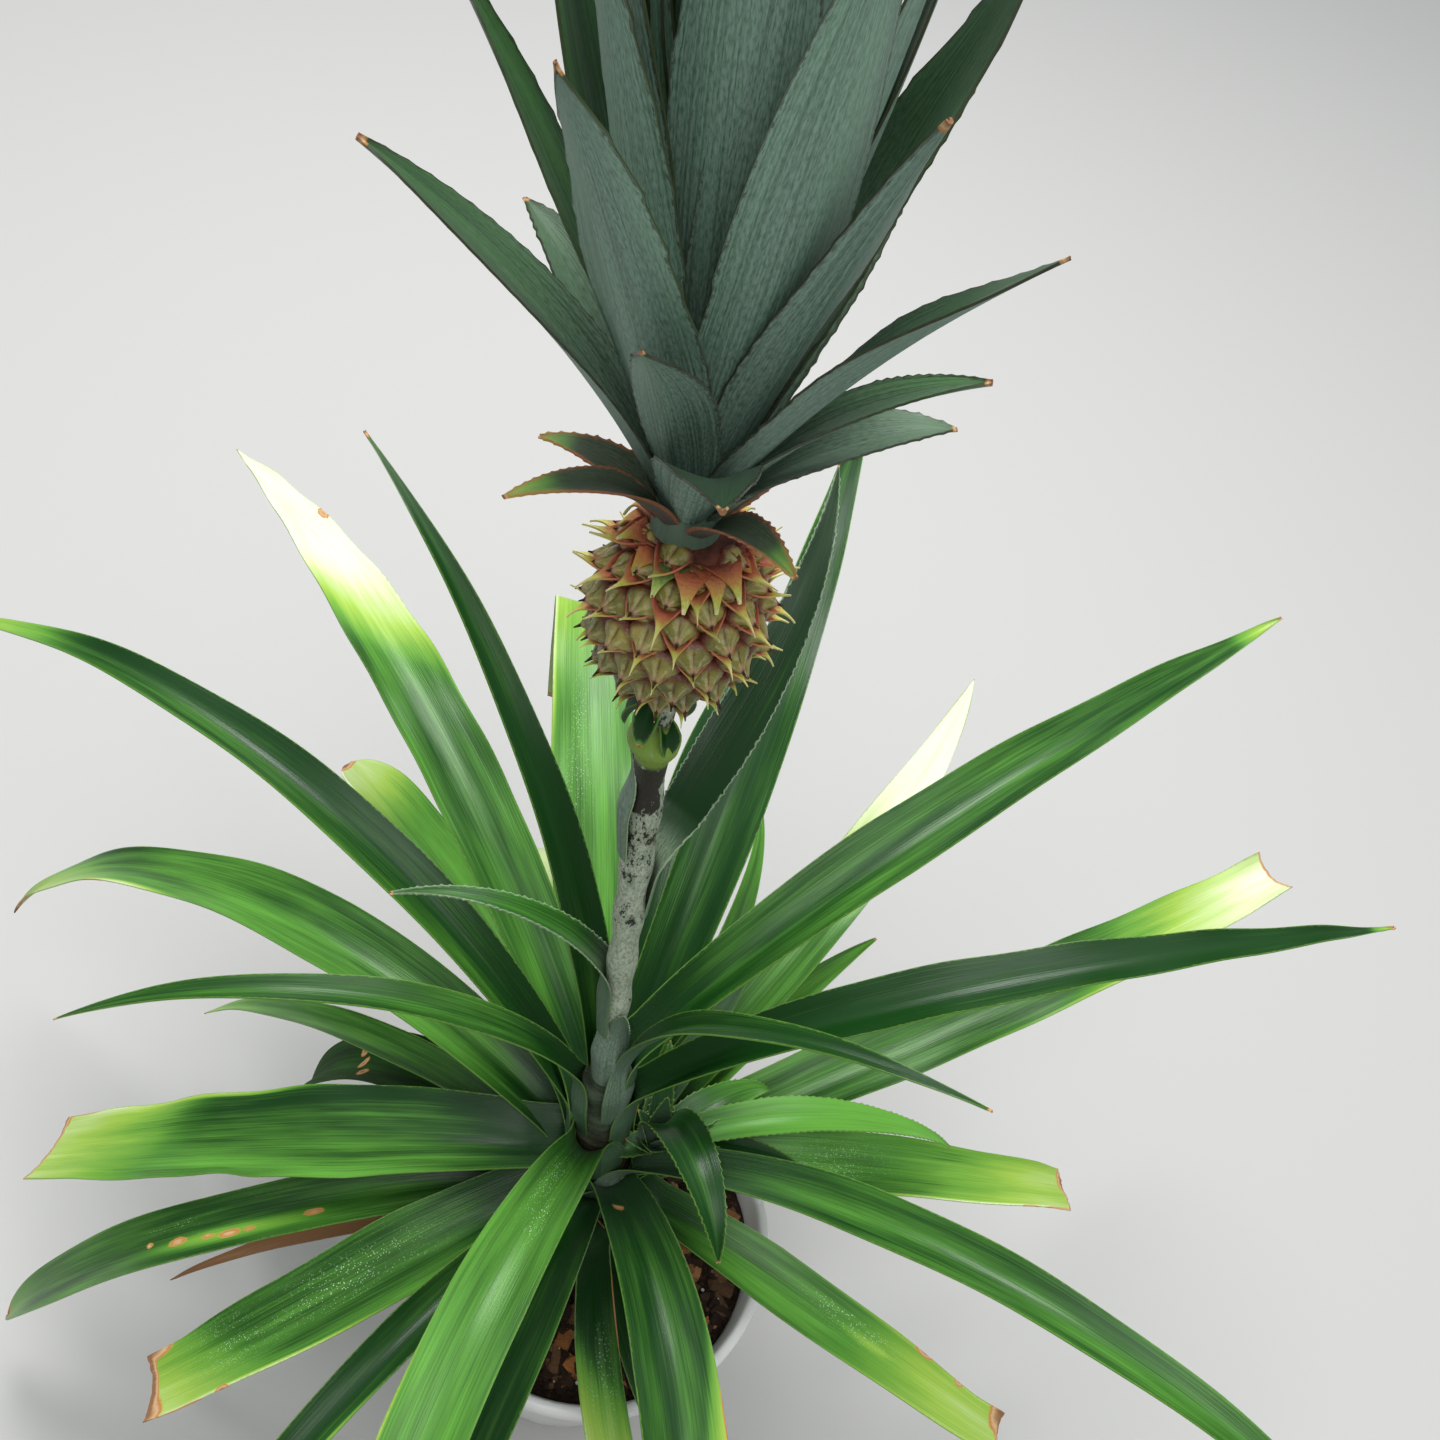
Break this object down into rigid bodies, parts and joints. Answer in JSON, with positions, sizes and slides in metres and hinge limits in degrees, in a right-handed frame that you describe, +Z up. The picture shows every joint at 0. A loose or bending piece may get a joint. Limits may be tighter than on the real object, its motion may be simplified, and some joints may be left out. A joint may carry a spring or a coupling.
{
  "type": "potted pineapple plant",
  "caption": "Fruiting pineapple plant in a round plastic pot: leaning stem with a rosette of sword leaves, a scaly stalk, one fruit with its leafy crown, and a side shoot.",
  "frame": {"origin": "centre of the pot's flat underside, where it stands", "axes": "+Z up; the plant leans slightly to -X as it rises; +Y away from the picture's camera"},
  "size_m": [1.0176, 0.9115, 1.1902],
  "materials": {
    "pot_plastic": "smooth off-white moulded plastic",
    "bark_mix": "moist bark chips with perlite",
    "stem": "ringed green-brown stem under old leaf feet",
    "stalk": "grey-green with a mealy bloom and dark scars",
    "fruit": "olive eyes with salmon bracts",
    "crown_leaf": "grey-green with a mealy bloom",
    "stalk_leaf": "grey-green, toothed",
    "shoot_leaf": "bright green, toothed",
    "leaf": "glossy mid to dark green, yellowed and dry at old tips",
    "dry_leaf": "dead brown leaf"
  },
  "bodies": {
    "root": {"pot": "pot_plastic", "soil": "bark_mix", "stem": "stem", "fruit_stalk": "stalk", "fruit": "fruit", "crown": "crown_leaf", "stalk_leaf_1": "stalk_leaf", "stalk_leaf_2": "stalk_leaf", "stalk_leaf_3": "stalk_leaf", "stalk_leaf_4": "stalk_leaf", "side_shoot": "shoot_leaf", "leaf_01": "dry_leaf", "leaf_02": "leaf", "leaf_03": "leaf", "leaf_04": "leaf", "leaf_05": "leaf", "leaf_06": "leaf", "leaf_07": "leaf", "leaf_08": "leaf", "leaf_09": "leaf", "leaf_10": "leaf", "leaf_11": "leaf", "leaf_12": "leaf", "leaf_13": "leaf", "leaf_14": "leaf", "leaf_15": "leaf", "leaf_16": "leaf", "leaf_17": "leaf", "leaf_18_foot": "leaf", "leaf_18_end": "leaf", "leaf_19": "leaf", "leaf_20": "leaf", "leaf_21_foot": "leaf", "leaf_21_end": "leaf", "leaf_22_foot": "leaf", "leaf_22_end": "leaf", "leaf_23": "leaf", "leaf_24_foot": "leaf", "leaf_24_end": "leaf", "leaf_25": "leaf", "leaf_26": "leaf", "leaf_27_foot": "leaf", "leaf_27_end": "leaf", "leaf_28": "leaf", "leaf_29_foot": "leaf", "leaf_29_end": "leaf", "leaf_30": "leaf", "leaf_31": "leaf", "leaf_32_foot": "leaf", "leaf_32_end": "leaf", "leaf_33": "leaf", "leaf_34": "leaf", "leaf_35": "leaf"}
  },
  "joints": []
}
